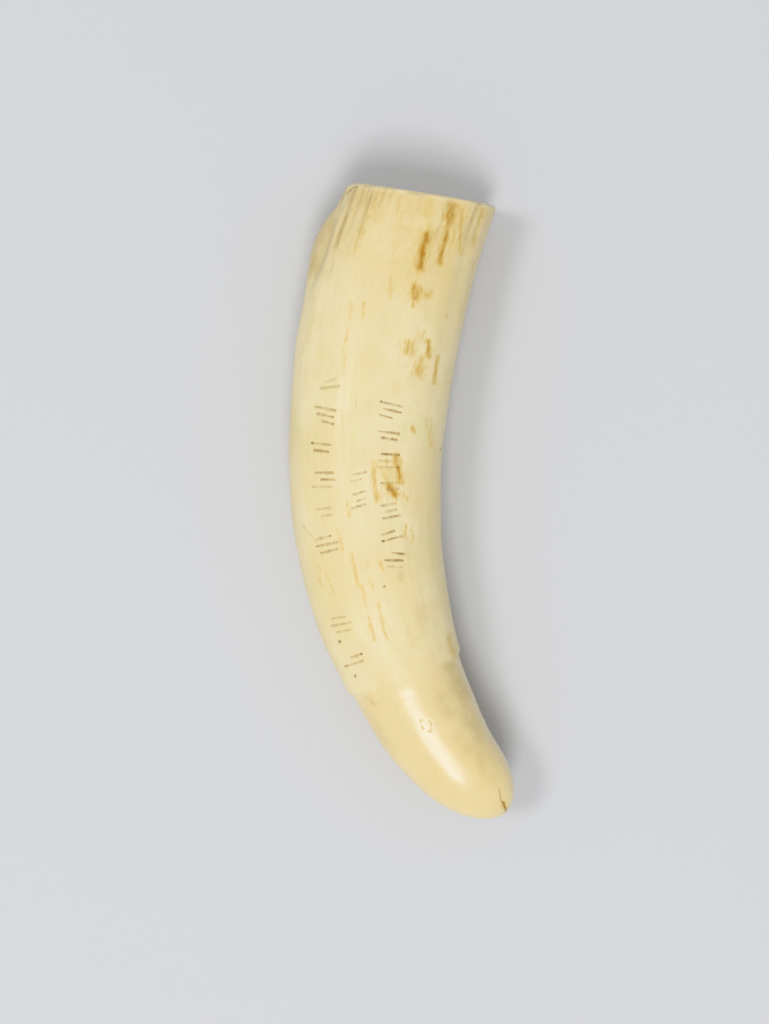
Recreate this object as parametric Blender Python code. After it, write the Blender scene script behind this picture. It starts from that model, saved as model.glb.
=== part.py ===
"""Scrimshaw whale tooth lying on its side: one solid, sawn off at the root, where the pulp cavity opens.

Metres, +Z up. The tooth runs along +X from its sawn root end to its tip, and its concave side faces +Y.
The table is the plane z = 0, and the origin is at the middle of the tooth's plan.
"""

import functools
import math

import bmesh
import bpy
import numpy as np
from mathutils import Matrix

MM = 0.001

# Centre line: a curve in one level plane. Its heading turns from +X toward +Y, faster near the tip.
AXIS_LENGTH = 136 * MM
AXIS_HEIGHT = 13.5 * MM
ROOT_HEADING = math.radians(-19.5)
TURN = math.radians(69.5)
EARLY_TURN = 0.405
AXIS_OVERRUN = 0.1
AXIS_STEPS = 2401

# Cross-sections. Each row is one station along the centre line, in millimetres: its distance from the
# root end, the half-widths on the convex and the concave side, and the half-heights above and below.
SECTIONS = (
    (0, 13.9, 15.9, 12.9, 13.2),
    (9, 15.6, 16.0, 13.5, 13.5),
    (20, 16.4, 16.2, 13.9, 13.9),
    (30, 16.6, 16.4, 14.0, 14.0),
    (45, 15.9, 16.1, 13.8, 14.0),
    (60, 15.5, 15.6, 13.4, 13.9),
    (75, 14.8, 14.7, 12.8, 13.8),
    (88, 13.7, 13.7, 12.0, 13.4),
    (98, 12.5, 12.4, 11.2, 12.4),
    (104, 11.8, 11.5, 10.6, 11.4),
    (110, 11.5, 10.9, 10.2, 10.7),
    (118, 10.2, 9.5, 9.4, 9.7),
    (124, 9.5, 8.8, 8.8, 8.9),
    (136, 8.6, 9.2, 7.8, 7.9),
)
SQUARENESS = 2.15
BELLY_LEAN = 0.12

# Rounded tip, worn flat on its concave side, with a short crack over its end
TIP_LENGTH = 14 * MM
FACET_PLACE = 131.5 * MM
FACET_REACH = 7.3 * MM
FACET_HEADING = math.radians(15)
FACET_TILT = math.radians(6)
CRACK_PLACE = 134.5 * MM
CRACK_HEIGHT = 2.5 * MM
CRACK_HEADING = math.radians(28)
CRACK_SLANT = math.radians(40)
CRACK_LENGTH = 5.6 * MM
CRACK_WIDTH = 1.1 * MM
CRACK_DEPTH = 4.2 * MM
CRACK_EDGE = 0.02 * MM

# Step down from the root's cement to the crown
NECK_PLACE = 101.2 * MM
NECK_SKEW = 0.7 * MM
NECK_LENGTH = 2.2 * MM
NECK_STEP = 0.6 * MM

# Swelling low on the convex side, just behind the sawn end
LOBE_ANGLE = math.radians(206)
LOBE_SPREAD = math.radians(24)
LOBE_HEIGHT = 2.3 * MM
LOBE_START = 9 * MM
LOBE_FULL = 14.5 * MM
LOBE_END = 27 * MM

# Shallow flutes along the root
FLUTES = 15
FLUTE_DEPTH = 0.22 * MM
FLUTE_END = 60 * MM

# Sawn end, out of square in plan and leaning back at the top, and its worn rim
SAW_HEADING = math.radians(-9)
SAW_LEAN = math.radians(8)
SAW_BLEND = 28 * MM
SAW_PASSES = 6
RIM_RADIUS = 1.3 * MM

# Pulp cavity: an oval cone with a rounded flank, its width a share of the tooth's
CAVITY_DEPTH = 33 * MM
CAVITY_MOUTH = 0.49
CAVITY_END = 0.05
CAVITY_TAPER = 1.5
CAVITY_APEX = 1 * MM

# Rows of shallow strokes on the upper side, in groups. Each row: its middle's distance from the centre
# line toward the concave side, the places of its first and last group along the centre line, how many
# groups it has, and how far its strokes reach across the tooth.
STROKE_ROWS = (
    (-8.3 * MM, 42 * MM, 72 * MM, 6, 4.5 * MM),
    (-8.6 * MM, 87 * MM, 94 * MM, 2, 4.0 * MM),
    (-1.2 * MM, 59.5 * MM, 64 * MM, 2, 3.1 * MM),
    (4.8 * MM, 46 * MM, 77 * MM, 7, 4.2 * MM),
)
STROKE_PITCH = 1.3 * MM
STROKE_LEAN = 0.35 * MM
STROKE_WIDTH = 0.6 * MM
STROKE_DEPTH = 0.25 * MM
SHORTEST_STROKE = 0.45
GOLDEN = 0.618034
WELD_DISTANCE = 0.01 * MM
TOP_STEPS = 400
TOP_MARGIN = 0.02

# Mesh
SEGMENTS = 60
BODY_RINGS = 30
NECK_RINGS = 7
CROWN_RINGS = 5
TIP_RINGS = 8
RIM_RINGS = 3
CAVITY_RINGS = 7
FLAT_MARGIN = 5 * MM

IVORY = (0.80, 0.68, 0.45)
IVORY_ROUGHNESS = 0.35
SHARP_ANGLE = math.radians(35)


def along(distance, column):
    """A column of SECTIONS at a distance from the root, on a smooth curve that never overshoots."""
    table = np.array(SECTIONS, float) * MM
    place = table[:, 0]
    value = table[:, column]
    gap = np.diff(place)
    slope = np.diff(value) / gap
    tangent = np.zeros(len(place))
    same_way = slope[:-1] * slope[1:] > 0
    mean = 2 * slope[:-1] * slope[1:] / np.where(same_way, slope[:-1] + slope[1:], 1)
    tangent[1:-1] = np.where(same_way, mean, 0)
    tangent[0] = slope[0]
    tangent[-1] = slope[-1]
    distance = np.asarray(distance, float)
    i = np.clip(np.searchsorted(place, distance) - 1, 0, len(gap) - 1)
    t = (distance - place[i]) / gap[i]
    from_start = (1 + 2 * t) * (1 - t) ** 2 * value[i] + t * (1 - t) ** 2 * gap[i] * tangent[i]
    from_end = t * t * (3 - 2 * t) * value[i + 1] + t * t * (t - 1) * gap[i] * tangent[i + 1]
    return from_start + from_end


def eased(value, start, end):
    """0 at the start, 1 at the end, smooth between them."""
    t = np.clip((value - start) / (end - start), 0, 1)
    return t * t * (3 - 2 * t)


def heading(distance):
    t = distance / AXIS_LENGTH
    return ROOT_HEADING + TURN * (EARLY_TURN * t + (1 - EARLY_TURN) * t * t)


def axis_point(distance):
    """Plan position of the centre line, with the root end's centre at (0, 0)."""
    steps = np.linspace(-AXIS_OVERRUN, 1 + AXIS_OVERRUN, AXIS_STEPS) * AXIS_LENGTH
    turned = heading(steps)
    middle = (turned[1:] + turned[:-1]) / 2
    x = np.concatenate([[0], np.cumsum(np.cos(middle) * np.diff(steps))])
    y = np.concatenate([[0], np.cumsum(np.sin(middle) * np.diff(steps))])
    x -= np.interp(0, steps, x)
    y -= np.interp(0, steps, y)
    return np.interp(distance, steps, x), np.interp(distance, steps, y)


def relief(distance, angle):
    """How far the lobe, the flutes and the neck's step move the surface outwards."""
    off_lobe = (np.mod(angle - LOBE_ANGLE + math.pi, 2 * math.pi) - math.pi) / LOBE_SPREAD
    lobe = LOBE_HEIGHT * np.exp(-0.5 * off_lobe**2)
    lobe = lobe * eased(distance, LOBE_START, LOBE_FULL) * (1 - eased(distance, LOBE_FULL, LOBE_END))
    flutes = FLUTE_DEPTH * np.cos(FLUTES * angle) * (1 - eased(distance, 0, FLUTE_END))
    neck = NECK_PLACE + NECK_SKEW * np.cos(angle)
    step = NECK_STEP * eased(distance, neck - NECK_LENGTH / 2, neck + NECK_LENGTH / 2)
    return lobe + flutes - step


def section(distance, angle):
    """The surface's place across the tooth and above the centre line's plane."""
    cos = np.cos(angle)
    sin = np.sin(angle)
    across = np.where(cos < 0, along(distance, 1), along(distance, 2))
    upward = np.where(sin < 0, along(distance, 4), along(distance, 3))
    power = 2 / SQUARENESS
    out = relief(distance, angle)
    t = np.clip((distance - AXIS_LENGTH + TIP_LENGTH) / TIP_LENGTH, 0, 1)
    rounding = np.sqrt(1 - t * t)
    side = (across * np.sign(cos) * np.abs(cos) ** power + out * cos) * rounding
    lift = (upward * np.sign(sin) * np.abs(sin) ** power + out * sin) * rounding
    return side + BELLY_LEAN * np.maximum(-lift, 0), lift


def placed(distance, side, lift):
    """World points from distances along the centre line, offsets to the concave side and heights."""
    x, y = axis_point(distance)
    turned = heading(distance)
    return np.stack([x - np.sin(turned) * side, y + np.cos(turned) * side, AXIS_HEIGHT + lift], axis=-1)


def saw_normal():
    """Out of the sawn end, leaning back so that its top is nearer the tip."""
    level = math.cos(SAW_LEAN)
    return np.array([-level * math.cos(SAW_HEADING), -level * math.sin(SAW_HEADING), math.sin(SAW_LEAN)])


def outer(distance, angle, share=1.0):
    """The outer surface, or a like surface inside it at a share of its width, sheared at the root so
    that distance 0 lies in the sawn plane."""
    distance, angle, share = np.broadcast_arrays(*np.atleast_1d(distance, angle, share))
    blend = 1 - eased(distance, 0, SAW_BLEND)
    shift = np.zeros(angle.shape)
    normal = saw_normal()
    start = np.array([0, 0, AXIS_HEIGHT])
    for _ in range(SAW_PASSES):
        side, lift = section(np.maximum(shift, 0), angle)
        off_plane = (placed(shift, side * share, lift * share) - start) @ normal
        ahead = -np.cos(heading(shift)) * normal[0] - np.sin(heading(shift)) * normal[1]
        shift = shift + off_plane / ahead
    sheared = distance + shift * blend
    side, lift = section(np.maximum(sheared, 0), angle)
    return placed(sheared, side * share, lift * share)


def worn_tip(points):
    """Presses what stands out past the worn facet's plane back on to it."""
    centre = placed(FACET_PLACE, FACET_REACH, 0)
    level = math.cos(FACET_TILT)
    across = np.array([-math.sin(FACET_HEADING), math.cos(FACET_HEADING)])
    normal = np.array([*(level * across), math.sin(FACET_TILT)])
    beyond = np.maximum((points - centre) @ normal, 0)
    near_tip = np.linalg.norm(points - centre, axis=-1) < TIP_LENGTH
    return points - (beyond * near_tip)[..., None] * normal


def ring_places():
    """Distances of the outer surface's rings, closer together at the rim, the neck and the tip."""
    neck_start = NECK_PLACE - NECK_LENGTH
    neck_end = NECK_PLACE + NECK_LENGTH
    tip_start = AXIS_LENGTH - TIP_LENGTH
    body = np.linspace(RIM_RADIUS, neck_start, BODY_RINGS, endpoint=False)
    neck = np.linspace(neck_start, neck_end, NECK_RINGS, endpoint=False)
    crown = np.linspace(neck_end, tip_start, CROWN_RINGS, endpoint=False)
    quarter = np.linspace(0, math.pi / 2, TIP_RINGS, endpoint=False)
    return np.concatenate([body, neck, crown, tip_start + TIP_LENGTH * np.sin(quarter)])


def rings():
    """All rings of points, from the cavity's deep end out through its mouth, round the rim to the tip."""
    angle = np.linspace(0, 2 * math.pi, SEGMENTS, endpoint=False) - math.pi / 2
    made = []
    for depth in np.linspace(1, 0, CAVITY_RINGS):
        share = CAVITY_END + (CAVITY_MOUTH - CAVITY_END) * (1 - depth**CAVITY_TAPER)
        made.append(outer(depth * CAVITY_DEPTH, angle, share))
    for step in np.linspace(math.pi / 2, 0, RIM_RINGS, endpoint=False):
        distance = RIM_RADIUS * (1 - math.sin(step))
        side, lift = section(distance, angle)
        inset = RIM_RADIUS * (1 - math.cos(step)) / np.hypot(side, lift)
        made.append(outer(distance, angle, 1 - inset))
    for distance in ring_places():
        made.append(worn_tip(outer(distance, angle)))
    return made


@functools.cache
def plan_middle():
    """Plan position of the middle of the tooth's box, which is moved to the origin."""
    points = np.concatenate(rings())
    return (points[:, :2].min(axis=0) + points[:, :2].max(axis=0)) / 2


def to_origin(points):
    moved = np.array(points, float)
    moved[..., :2] -= plan_middle()
    return moved


def add_material(name, colour, roughness):
    material = bpy.data.materials.new(name)
    material.use_nodes = True
    shader = material.node_tree.nodes["Principled BSDF"]
    shader.inputs["Base Color"].default_value = (*colour, 1)
    shader.inputs["Roughness"].default_value = roughness
    return material


def add_collection(name):
    collection = bpy.data.collections.new(name)
    bpy.context.scene.collection.children.link(collection)
    return collection


def add_object(name, mesh, collection):
    obj = bpy.data.objects.new(name, mesh)
    collection.objects.link(obj)
    return obj


def as_cutter(obj):
    obj.hide_render = True
    obj.display_type = "WIRE"
    return obj


def cut(obj, cutter):
    boolean = obj.modifiers.new(cutter.name, "BOOLEAN")
    boolean.operation = "DIFFERENCE"
    boolean.solver = "EXACT"
    boolean.object = cutter


def make_tooth(collection):
    """The loft through all rings, closed by a point at each end."""
    bm = bmesh.new()
    loops = [[bm.verts.new(point) for point in to_origin(ring)] for ring in rings()]
    for inner, next_loop in zip(loops, loops[1:]):
        for i in range(SEGMENTS):
            j = (i + 1) % SEGMENTS
            bm.faces.new((inner[i], inner[j], next_loop[j], next_loop[i]))
    ends = (
        (outer(CAVITY_DEPTH + CAVITY_APEX, 0.0, 0.0)[0], loops[0], 1),
        (placed(AXIS_LENGTH, 0, 0), loops[-1], -1),
    )
    for point, loop, way in ends:
        pole = bm.verts.new(to_origin(point))
        for i in range(SEGMENTS):
            j = (i + way) % SEGMENTS
            bm.faces.new((pole, loop[j], loop[i]))
    bmesh.ops.recalc_face_normals(bm, faces=bm.faces)
    mesh = bpy.data.meshes.new("tooth")
    bm.to_mesh(mesh)
    bm.free()
    mesh.shade_smooth()
    mesh.set_sharp_from_angle(angle=SHARP_ANGLE)
    mesh.materials.append(add_material("Ivory", IVORY, IVORY_ROUGHNESS))
    return add_object("tooth", mesh, collection)


def top_point(distance, side):
    """The point of the upper surface at an offset from the centre line."""
    angle = np.linspace(TOP_MARGIN, math.pi - TOP_MARGIN, TOP_STEPS)
    places, lifts = section(np.full(angle.shape, distance), angle)
    lift = np.interp(-side, -places, lifts)
    return placed(distance, side, lift)


def varied(count, low, high):
    """A value between low and high that looks irregular from one count to the next."""
    return low + (high - low) * (count * GOLDEN % 1)


def stroke_lines():
    """Each stroke's two ends, as (distance, side) pairs: groups of leaning strokes that never meet."""
    lines = []
    for row, (side, first, last, groups, reach) in enumerate(STROKE_ROWS):
        for group in range(groups):
            middle = first + (last - first) * group / (groups - 1)
            strokes = 2 + (group + row) % 2
            lean = varied(3 * group + row, -STROKE_LEAN, STROKE_LEAN)
            for stroke in range(strokes):
                count = 7 * row + 3 * group + stroke
                length = reach * varied(count, SHORTEST_STROKE, 1)
                centre = side + (reach - length) * varied(2 * count + 1, -0.5, 0.5)
                place = middle + STROKE_PITCH * (stroke - (strokes - 1) / 2)
                lines.append(((place - lean, centre - length / 2), (place + lean, centre + length / 2)))
    return lines


def stroke_tube(start, end):
    """A square tube that follows the surface along one stroke, welded to a closed mesh."""
    curve = bpy.data.curves.new("stroke", "CURVE")
    curve.dimensions = "3D"
    curve.bevel_depth = STROKE_WIDTH / 2
    curve.bevel_resolution = 0
    curve.use_fill_caps = True
    spline = curve.splines.new("POLY")
    spline.points.add(2)
    lift = STROKE_WIDTH / 2 - STROKE_DEPTH
    for point, t in zip(spline.points, (0, 0.5, 1)):
        distance = start[0] + (end[0] - start[0]) * t
        side = start[1] + (end[1] - start[1]) * t
        point.co = (*(to_origin(top_point(distance, side)) + np.array([0, 0, lift])), 1)
    guide = bpy.data.objects.new("stroke", curve)
    bpy.context.scene.collection.objects.link(guide)
    graph = bpy.context.evaluated_depsgraph_get()
    mesh = bpy.data.meshes.new_from_object(guide.evaluated_get(graph))
    bpy.data.objects.remove(guide)
    return mesh


def make_strokes(collection):
    """All strokes as one cutter."""
    bm = bmesh.new()
    for start, end in stroke_lines():
        mesh = stroke_tube(start, end)
        bm.from_mesh(mesh)
        bpy.data.meshes.remove(mesh)
    bmesh.ops.remove_doubles(bm, verts=bm.verts, dist=WELD_DISTANCE)
    bmesh.ops.recalc_face_normals(bm, faces=bm.faces)
    mesh = bpy.data.meshes.new("strokes")
    bm.to_mesh(mesh)
    bm.free()
    return as_cutter(add_object("strokes", mesh, collection))


def make_flat(collection):
    """A slab under the table's plane, which leaves a small flat on the belly."""
    size = AXIS_LENGTH + 2 * FLAT_MARGIN
    bm = bmesh.new()
    bmesh.ops.create_cube(bm, size=1)
    bmesh.ops.scale(bm, vec=(size, size, FLAT_MARGIN), verts=bm.verts)
    bmesh.ops.translate(bm, vec=(0, 0, -FLAT_MARGIN / 2), verts=bm.verts)
    mesh = bpy.data.meshes.new("belly_flat")
    bm.to_mesh(mesh)
    bm.free()
    return as_cutter(add_object("belly_flat", mesh, collection))


def make_crack(collection):
    """A thin wedge, edge down, across the worn end of the tip."""
    bm = bmesh.new()
    bmesh.ops.create_cone(
        bm, cap_ends=True, segments=4, radius1=CRACK_EDGE, radius2=CRACK_WIDTH, depth=CRACK_DEPTH
    )
    bmesh.ops.rotate(bm, matrix=Matrix.Rotation(math.pi / 4, 3, "Z"), verts=bm.verts)
    bmesh.ops.scale(bm, vec=(CRACK_LENGTH / CRACK_WIDTH, 1, 1), verts=bm.verts)
    mesh = bpy.data.meshes.new("tip_crack")
    bm.to_mesh(mesh)
    bm.free()
    cutter = as_cutter(add_object("tip_crack", mesh, collection))
    cutter.location = to_origin(placed(CRACK_PLACE, 0, CRACK_HEIGHT))
    cutter.rotation_euler = (0, CRACK_SLANT, CRACK_HEADING)
    return cutter


def clear_scene():
    for obj in list(bpy.data.objects):
        bpy.data.objects.remove(obj)


def main():
    clear_scene()
    parts = add_collection("scrimshaw_whale_tooth")
    cutters = add_collection("cutters")
    tooth = make_tooth(parts)
    cut(tooth, make_flat(cutters))
    cut(tooth, make_crack(cutters))
    cut(tooth, make_strokes(cutters))


main()
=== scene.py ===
"""Looks of the scrimshaw whale tooth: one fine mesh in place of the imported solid, its ivory, floor, lights, camera.

Metres, +Z up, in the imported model's frame: the tooth runs along +X from its sawn root end to its tip, and its
concave side faces +Y.
"""

import math

import bmesh
import bpy
import numpy as np
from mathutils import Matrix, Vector


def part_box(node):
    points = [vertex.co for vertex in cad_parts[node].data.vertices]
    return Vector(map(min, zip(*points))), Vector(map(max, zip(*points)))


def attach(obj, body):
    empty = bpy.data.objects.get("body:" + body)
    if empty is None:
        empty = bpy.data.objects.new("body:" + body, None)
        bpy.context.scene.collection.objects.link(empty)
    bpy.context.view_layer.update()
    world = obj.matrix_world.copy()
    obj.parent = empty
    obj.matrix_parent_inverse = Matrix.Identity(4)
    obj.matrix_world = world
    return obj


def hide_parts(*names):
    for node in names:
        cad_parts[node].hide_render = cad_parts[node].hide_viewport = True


MM = 0.001

# The solid's shape. SECTIONS, the lobe and the rim are set closer to the photo than in the solid,
# CORNERS is added, and the flutes are used at half their depth.
AXIS_LENGTH = 136 * MM
AXIS_HEIGHT = 13.5 * MM
ROOT_HEADING = math.radians(-19.5)
TURN = math.radians(69.5)
EARLY_TURN = 0.405
SECTIONS = (
    (0, 14.3, 15.9, 12.9, 13.2),
    (9, 15.2, 16.0, 13.5, 13.5),
    (14, 15.9, 16.1, 13.7, 13.7),
    (20, 16.4, 16.2, 13.9, 13.9),
    (30, 16.6, 16.4, 14.0, 14.0),
    (45, 15.9, 16.1, 13.8, 14.0),
    (60, 15.5, 15.6, 13.4, 13.9),
    (75, 14.8, 14.7, 12.8, 13.8),
    (88, 13.7, 13.7, 12.0, 13.4),
    (98, 12.5, 12.3, 11.2, 12.4),
    (104, 12.2, 11.7, 10.6, 11.4),
    (110, 12.1, 11.2, 10.2, 10.7),
    (118, 10.9, 9.8, 9.4, 9.7),
    (124, 9.9, 8.9, 8.8, 8.9),
    (136, 8.6, 9.2, 7.8, 7.9),
)
SQUARENESS = 2.15
BELLY_LEAN = 0.12
TIP_LENGTH = 14 * MM
FACET_PLACE = 131.5 * MM
FACET_REACH = 7.3 * MM
FACET_HEADING = math.radians(15)
FACET_TILT = math.radians(6)
NECK_PLACE = 101.2 * MM
NECK_SKEW = 0.7 * MM
NECK_LENGTH = 2.2 * MM
NECK_STEP = 0.6 * MM
LOBE_ANGLE = math.radians(206)
LOBE_SPREAD = math.radians(24)
LOBE_HEIGHT = 2.8 * MM
LOBE_START = 8.2 * MM
LOBE_FULL = 14.5 * MM
LOBE_END = 28 * MM
FLUTES = 15
FLUTE_DEPTH = 0.22 * MM
FLUTE_END = 60 * MM
SAW_HEADING = math.radians(-9)
SAW_LEAN = math.radians(8)
SAW_BLEND = 28 * MM
RIM_RADIUS = 0.45 * MM
CORNERS = ((math.radians(163), 0.7 * MM), (math.radians(12), 0.6 * MM))
CORNER_SPREAD = math.radians(22)
CAVITY_DEPTH = 33 * MM
CAVITY_MOUTH = 0.49
CAVITY_END = 0.05
STROKE_ROWS = (
    (-8.3 * MM, 42 * MM, 72 * MM, 6, 4.5 * MM),
    (-8.6 * MM, 87 * MM, 94 * MM, 2, 4.0 * MM),
    (-1.2 * MM, 59.5 * MM, 64 * MM, 2, 3.1 * MM),
    (4.8 * MM, 46 * MM, 77 * MM, 7, 4.2 * MM),
)
STROKE_PITCH = 1.3 * MM
STROKE_LEAN = 0.35 * MM
SHORTEST_STROKE = 0.45
GOLDEN = 0.618034

# Fine mesh: rings and columns of the even grid, and how near a mark the grid is halved, once and twice
COLUMNS = 208
OUTER_RINGS = 292
FACE_RINGS = 14
CAVITY_RINGS = 24
UPPER_DENSITY = 1.5
FINE_REACH = (0.7 * MM, 0.4 * MM)
MOST_TRIANGLES = 200000

# Strokes as they look: narrow grooves, the colour in them, and the dark spots at some ends
GROOVE_WIDTH = 0.70 * MM
GROOVE_DEPTH = 0.10 * MM
POOL_RADIUS = 0.38 * MM
ROW_DARKNESS = (0.85, 0.62, 1.0, 0.85)

# Single scratches and cracks, each: start and end as (place, offset), half-width, depth, darkness
SCRATCHES = (
    ((68.0 * MM, -12.9 * MM), (71.5 * MM, -10.2 * MM), 0.30 * MM, 0.04 * MM, 0.20),
    ((44.3 * MM, -2.4 * MM), (46.4 * MM, -2.3 * MM), 0.16 * MM, 0.03 * MM, 0.25),
    ((131.1 * MM, 2.5 * MM), (133.0 * MM, 1.1 * MM), 0.28 * MM, 0.10 * MM, 0.35),
    ((133.0 * MM, 1.1 * MM), (134.0 * MM, 1.0 * MM), 0.24 * MM, 0.16 * MM, 0.25),
    ((134.0 * MM, 1.0 * MM), (135.7 * MM, 0.1 * MM), 0.40 * MM, 0.55 * MM, 0.30),
    ((5.5 * MM, -13.6 * MM), (4.7 * MM, -13.3 * MM), 0.26 * MM, 0.12 * MM, 0.40),
    ((4.7 * MM, -13.3 * MM), (3.8 * MM, -12.1 * MM), 0.32 * MM, 0.18 * MM, 0.50),
)

# Round scratches, each: place, offset, half-length, half-width, line half-width, depth, darkness
RINGS = (
    (110.9 * MM, -0.8 * MM, 1.30 * MM, 1.05 * MM, 0.30 * MM, 0.10 * MM, 0.32),
    (78.9 * MM, 12.9 * MM, 1.50 * MM, 0.90 * MM, 0.20 * MM, 0.04 * MM, 0.20),
)

# Drilled dots, each: place, offset, radius
DOTS = (
    (90.0 * MM, -10.0 * MM, 0.36 * MM),
    (97.0 * MM, -9.4 * MM, 0.34 * MM),
    (81.7 * MM, 1.5 * MM, 0.30 * MM),
    (53.3 * MM, 15.4 * MM, 0.28 * MM),
)
DOT_DEPTH = 0.12 * MM

# Grooves between the ribs of the root's convex side, each: offset, end along the tooth, depth, half-width
LONG_GROOVES = (
    (-14.4, 11.0, 0.20, 0.42),
    (-13.1, 9.0, 0.10, 0.35),
    (-12.0, 26.0, 0.28, 0.40),
    (-10.5, 15.0, 0.20, 0.36),
    (-9.4, 9.0, 0.12, 0.30),
    (-8.5, 19.0, 0.22, 0.40),
    (-7.4, 9.0, 0.14, 0.30),
    (-6.2, 11.0, 0.18, 0.38),
    (-4.6, 8.0, 0.10, 0.35),
    (-2.6, 11.0, 0.10, 0.40),
    (1.6, 9.0, 0.10, 0.40),
    (6.4, 13.0, 0.12, 0.40),
    (12.4, 12.0, 0.14, 0.40),
    (14.0, 9.0, 0.14, 0.35),
)

# Brown stains, each: place and offset of its start, place and offset of its end, half-width, strength
STAINS = (
    (5.4, 4.1, 9.0, 4.4, 0.55, 0.55),
    (8.0, 4.4, 17.0, 5.1, 1.90, 0.42),
    (9.5, 4.5, 16.0, 5.0, 1.15, 1.15),
    (16.0, 5.0, 20.0, 5.2, 0.45, 0.60),
    (20.3, 5.2, 22.5, 5.6, 0.95, 1.05),
    (20.6, 6.4, 21.2, 7.8, 0.95, 0.75),
    (23.0, 5.4, 24.2, 5.8, 0.35, 0.70),
    (1.2, 8.2, 9.0, 9.2, 2.60, 0.45),
    (1.6, 7.7, 4.6, 8.0, 1.35, 1.05),
    (4.6, 7.9, 11.0, 8.4, 0.75, 1.00),
    (11.0, 8.4, 14.0, 8.6, 0.65, 1.05),
    (1.7, 8.8, 4.1, 9.3, 0.50, 0.65),
    (1.8, 9.7, 8.5, 11.3, 0.35, 0.90),
    (8.5, 11.3, 10.5, 12.2, 0.60, 0.50),
    (0.5, 13.6, 8.1, 14.2, 0.35, 0.60),
    (-1.0, 13.0, 2.5, 14.2, 0.50, 0.50),
    (2.3, 3.0, 5.5, 3.6, 1.50, 0.38),
    (3.5, -6.6, 15.5, -8.3, 1.10, 0.36),
    (4.0, -11.0, 9.0, -11.0, 0.90, 0.32),
    (6.5, -1.6, 8.0, -1.4, 1.00, 0.34),
    (30.4, 10.1, 33.6, 10.8, 0.50, 1.05),
    (32.0, 7.2, 37.5, 9.0, 2.30, 0.34),
    (32.0, 6.4, 33.6, 6.6, 1.35, 0.66),
    (34.8, 9.2, 37.8, 9.4, 1.15, 0.66),
    (33.1, 12.5, 39.2, 12.7, 0.42, 0.80),
    (29.2, 8.4, 30.8, 9.2, 0.80, 0.45),
    (23.5, 12.3, 25.0, 12.5, 0.40, 0.45),
    (20.0, 0.2, 23.5, 0.8, 0.60, 0.50),
    (13.0, -0.6, 17.0, -0.6, 0.50, 0.36),
    (25.8, -3.9, 28.1, -3.5, 0.45, 0.55),
    (26.2, -6.4, 29.3, -6.1, 0.32, 0.50),
    (31.5, -6.0, 33.7, -6.1, 0.36, 0.55),
    (34.9, -5.9, 39.9, -5.6, 0.32, 0.50),
    (57.5, 4.4, 63.0, 4.6, 2.50, 0.40),
    (57.1, 1.9, 63.8, 2.2, 0.70, 0.66),
    (55.4, 6.2, 60.8, 7.1, 0.80, 0.85),
    (57.5, 6.7, 60.2, 7.1, 0.55, 1.10),
    (61.6, 4.8, 63.4, 6.0, 0.85, 1.15),
    (62.4, 2.2, 64.3, 2.4, 0.75, 0.65),
    (63.0, 7.4, 64.4, 8.4, 0.60, 0.45),
    (49.0, 9.2, 49.9, 9.6, 0.42, 0.75),
    (47.0, 12.5, 53.0, 13.2, 0.80, 0.44),
    (61.8, -5.4, 64.2, -5.6, 0.30, 0.55),
    (64.5, -3.6, 67.0, -3.4, 0.38, 0.62),
    (69.3, -5.8, 73.4, -5.3, 0.32, 0.58),
    (74.5, -3.7, 80.0, -3.5, 0.40, 0.70),
    (80.2, -3.4, 81.9, -2.8, 0.62, 0.64),
    (82.1, -2.9, 85.0, -2.9, 0.60, 0.50),
    (79.5, -0.9, 81.8, -0.6, 0.35, 0.48),
    (76.9, 1.6, 78.4, 1.9, 0.42, 0.66),
    (75.8, -10.8, 77.1, -10.6, 0.30, 0.48),
    (78.0, -10.8, 79.5, -10.7, 0.34, 0.50),
    (76.8, -9.3, 81.3, -8.7, 0.30, 0.46),
    (87.0, -3.0, 91.6, -3.2, 0.60, 0.58),
    (85.3, -0.4, 92.3, -0.9, 0.50, 0.55),
    (70.2, 7.7, 72.6, 7.2, 0.34, 0.56),
    (70.4, 8.9, 73.4, 8.7, 0.32, 0.50),
    (96.0, 10.9, 101.6, 10.6, 0.55, 0.55),
    (103.3, -2.4, 104.8, -2.5, 0.90, 0.40),
    (133.8, 0.8, 135.7, 0.0, 0.60, 0.85),
)

# Soft olive-brown clouds and smudges, in the same terms. The first row, on the swelling below the root's ribs, is
# partly painted shade.
SMUDGES_AND_SHADE = (
    # Partly painted shade: tan over the swelling below the root's ribs, where it turns down and away
    (11.5, -16.6, 21.0, -16.2, 1.60, 0.85),
    (20.5, 8.4, 20.6, 8.5, 0.40, 0.90),
    (49.1, 9.3, 49.8, 9.5, 0.35, 0.80),
    (73.7, 7.8, 75.8, 7.2, 1.30, 0.36),
    (76.1, -0.8, 77.5, -1.0, 0.38, 0.55),
    (79.9, 5.2, 81.3, 4.9, 0.45, 0.50),
    (90.8, 3.8, 95.1, 3.7, 0.42, 0.42),
    (88.0, 7.4, 90.0, 7.2, 1.20, 0.30),
    (99.9, 10.4, 101.6, 10.6, 0.60, 0.60),
    (101.3, -8.8, 102.9, -8.3, 0.70, 0.65),
    (102.8, 9.0, 105.0, 9.2, 1.40, 0.80),
    (106.5, 9.0, 110.5, 8.6, 1.90, 0.80),
    (107.4, 4.4, 111.4, 4.2, 1.60, 0.45),
    (112.0, 7.6, 120.0, 6.2, 1.60, 0.62),
    (117.0, 3.4, 120.0, 3.1, 1.40, 0.48),
    (122.0, 4.2, 128.0, 2.4, 1.30, 0.45),
    (104.0, -9.8, 112.0, -10.0, 1.20, 0.40),
)

# Camera: straight above, the photo's down along +X and its right along +Y
CAMERA_PLACE = (2.5 * MM, -3.5 * MM, 393.5 * MM)
CAMERA_HEIGHT_SEEN = 0.000205
PHOTO_HEIGHT = 1024
SENSOR = 36


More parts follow.
